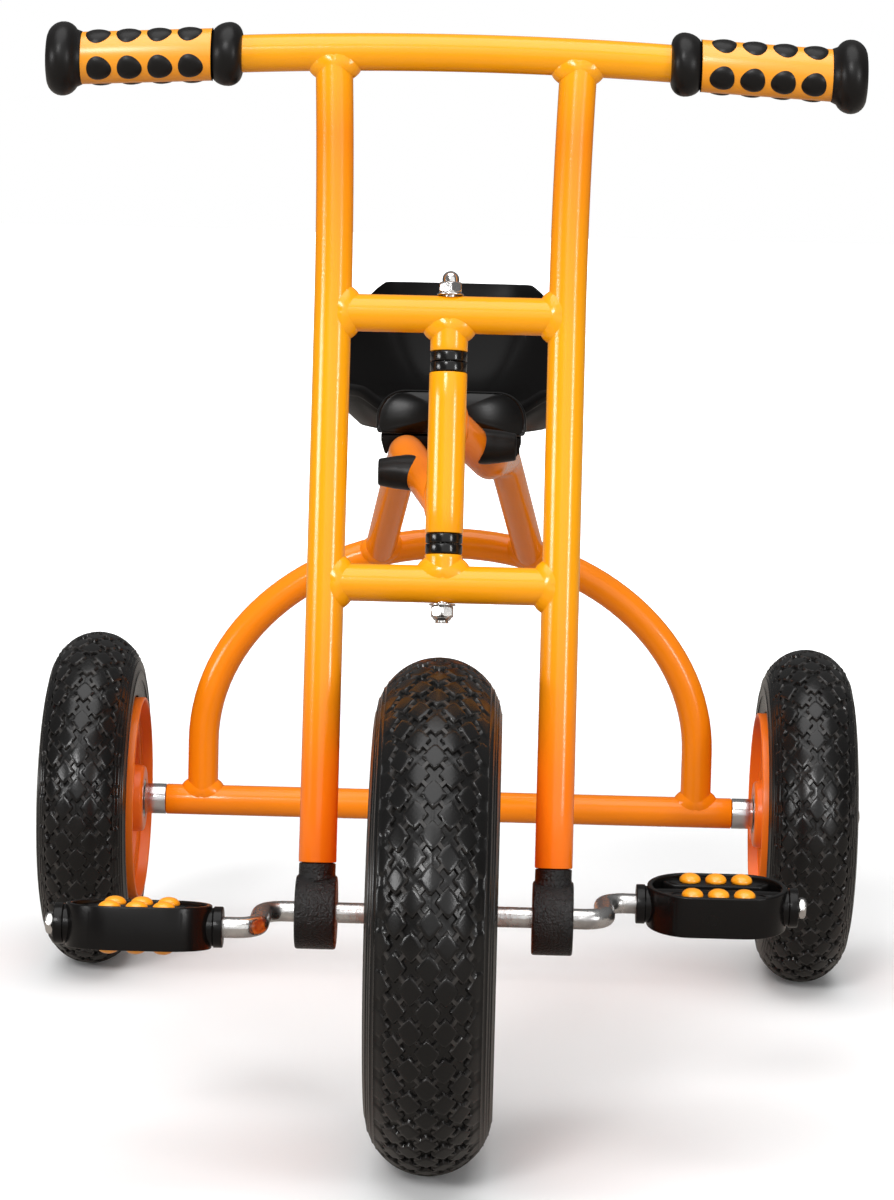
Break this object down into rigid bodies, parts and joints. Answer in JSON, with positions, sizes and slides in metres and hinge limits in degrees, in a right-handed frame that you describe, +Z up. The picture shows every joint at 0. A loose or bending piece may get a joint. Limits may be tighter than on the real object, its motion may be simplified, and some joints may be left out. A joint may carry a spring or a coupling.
{
  "type": "children's tricycle",
  "caption": "Children's pedal tricycle with a welded tube frame, ladder fork, fixed front crank, balloon tyres, nubbed grips and a moulded bucket seat.",
  "frame": {"origin": "On the floor in the middle of the tricycle's bounding box, with all three tyres standing on the floor", "axes": "+X to the side of the right-hand pedal, +Y from the front wheel back to the rear axle (the rider faces -Y), +Z up"},
  "size_m": [0.6004, 0.811, 0.6639],
  "materials": {
    "yellow_powder_coat": "gloss powder coat, amber yellow",
    "orange_powder_coat": "gloss powder coat, orange",
    "orange_plastic": "satin moulded",
    "amber_rubber": "smooth soft rubber",
    "black_plastic": "satin moulded",
    "black_rubber": "moulded",
    "rough_black": "rough textured black coat",
    "tyre_rubber": "diamond tread, satin",
    "zinc_plate": "bright zinc plate",
    "chrome": "polished",
    "black_nylon": "smooth"
  },
  "bodies": {
    "frame": {"main_frame": "orange_powder_coat", "head_bush_lower_frame": "black_nylon", "head_bush_upper_frame": "black_nylon", "steering_buffer_left": "black_rubber", "steering_buffer_right": "black_rubber", "seat": "black_plastic", "seat_saddle_front": "black_plastic", "seat_saddle_rear": "black_plastic", "seat_screw_front": "zinc_plate", "seat_screw_rear": "zinc_plate", "spacer_sleeve_left": "chrome", "spacer_sleeve_right": "chrome", "rear_axle": "zinc_plate", "axle_washer_left": "zinc_plate", "axle_washer_right": "zinc_plate", "axle_nut_left": "zinc_plate", "axle_nut_right": "zinc_plate"},
    "rear_wheel_left": {"rear_left_tyre": "tyre_rubber", "rear_left_rim": "orange_plastic", "bearing_left_inner": "zinc_plate", "bearing_left_outer": "zinc_plate"},
    "rear_wheel_right": {"rear_right_tyre": "tyre_rubber", "rear_right_rim": "orange_plastic", "bearing_right_inner": "zinc_plate", "bearing_right_outer": "zinc_plate"},
    "steered_fork": {"fork": "yellow_powder_coat", "head_bush_lower_fork": "black_nylon", "head_bush_upper_fork": "black_nylon", "steering_bolt": "zinc_plate", "steering_cap_nut": "chrome", "steering_washer_upper": "zinc_plate", "steering_lock_nut": "zinc_plate", "steering_washer_lower": "zinc_plate", "bearing_block_left": "rough_black", "bearing_block_right": "rough_black", "crank_bush_left": "black_nylon", "crank_bush_right": "black_nylon", "grip_core_left": "black_rubber", "grip_core_right": "black_rubber", "grip_sleeve_left": "amber_rubber", "grip_sleeve_right": "amber_rubber"},
    "crank": {"crank_rod": "zinc_plate", "front_rim": "orange_plastic", "front_tyre": "tyre_rubber", "hub_drive_pin": "zinc_plate", "pedal_nut_left": "zinc_plate", "pedal_nut_right": "zinc_plate"},
    "pedal_left": {"pedal_body_left": "black_plastic", "pedal_studs_left_front": "amber_rubber", "pedal_studs_left_back": "amber_rubber"},
    "pedal_right": {"pedal_body_right": "black_plastic", "pedal_studs_right_front": "amber_rubber", "pedal_studs_right_back": "amber_rubber"}
  },
  "joints": [
    {"name": "steer", "type": "hinge", "parent": "frame", "child": "steered_fork", "pos_m": [0, -0.2555, 0.15], "axis": [0, 0.1564, 0.9877], "range_deg": [-40, 40]},
    {"name": "crank_spin", "type": "hinge", "parent": "steered_fork", "child": "crank", "pos_m": [0, -0.2555, 0.15], "axis": [1, 0, 0], "continuous": true},
    {"name": "pedal_left_spin", "type": "hinge", "parent": "crank", "child": "pedal_left", "pos_m": [-0.1669, -0.3055, 0.15], "axis": [1, 0, 0], "continuous": true},
    {"name": "pedal_right_spin", "type": "hinge", "parent": "crank", "child": "pedal_right", "pos_m": [0.1669, -0.2055, 0.15], "axis": [1, 0, 0], "continuous": true},
    {"name": "rear_left_spin", "type": "hinge", "parent": "frame", "child": "rear_wheel_left", "pos_m": [-0.2585, 0.2845, 0.121], "axis": [1, 0, 0], "continuous": true},
    {"name": "rear_right_spin", "type": "hinge", "parent": "frame", "child": "rear_wheel_right", "pos_m": [0.2585, 0.2845, 0.121], "axis": [1, 0, 0], "continuous": true}
  ]
}
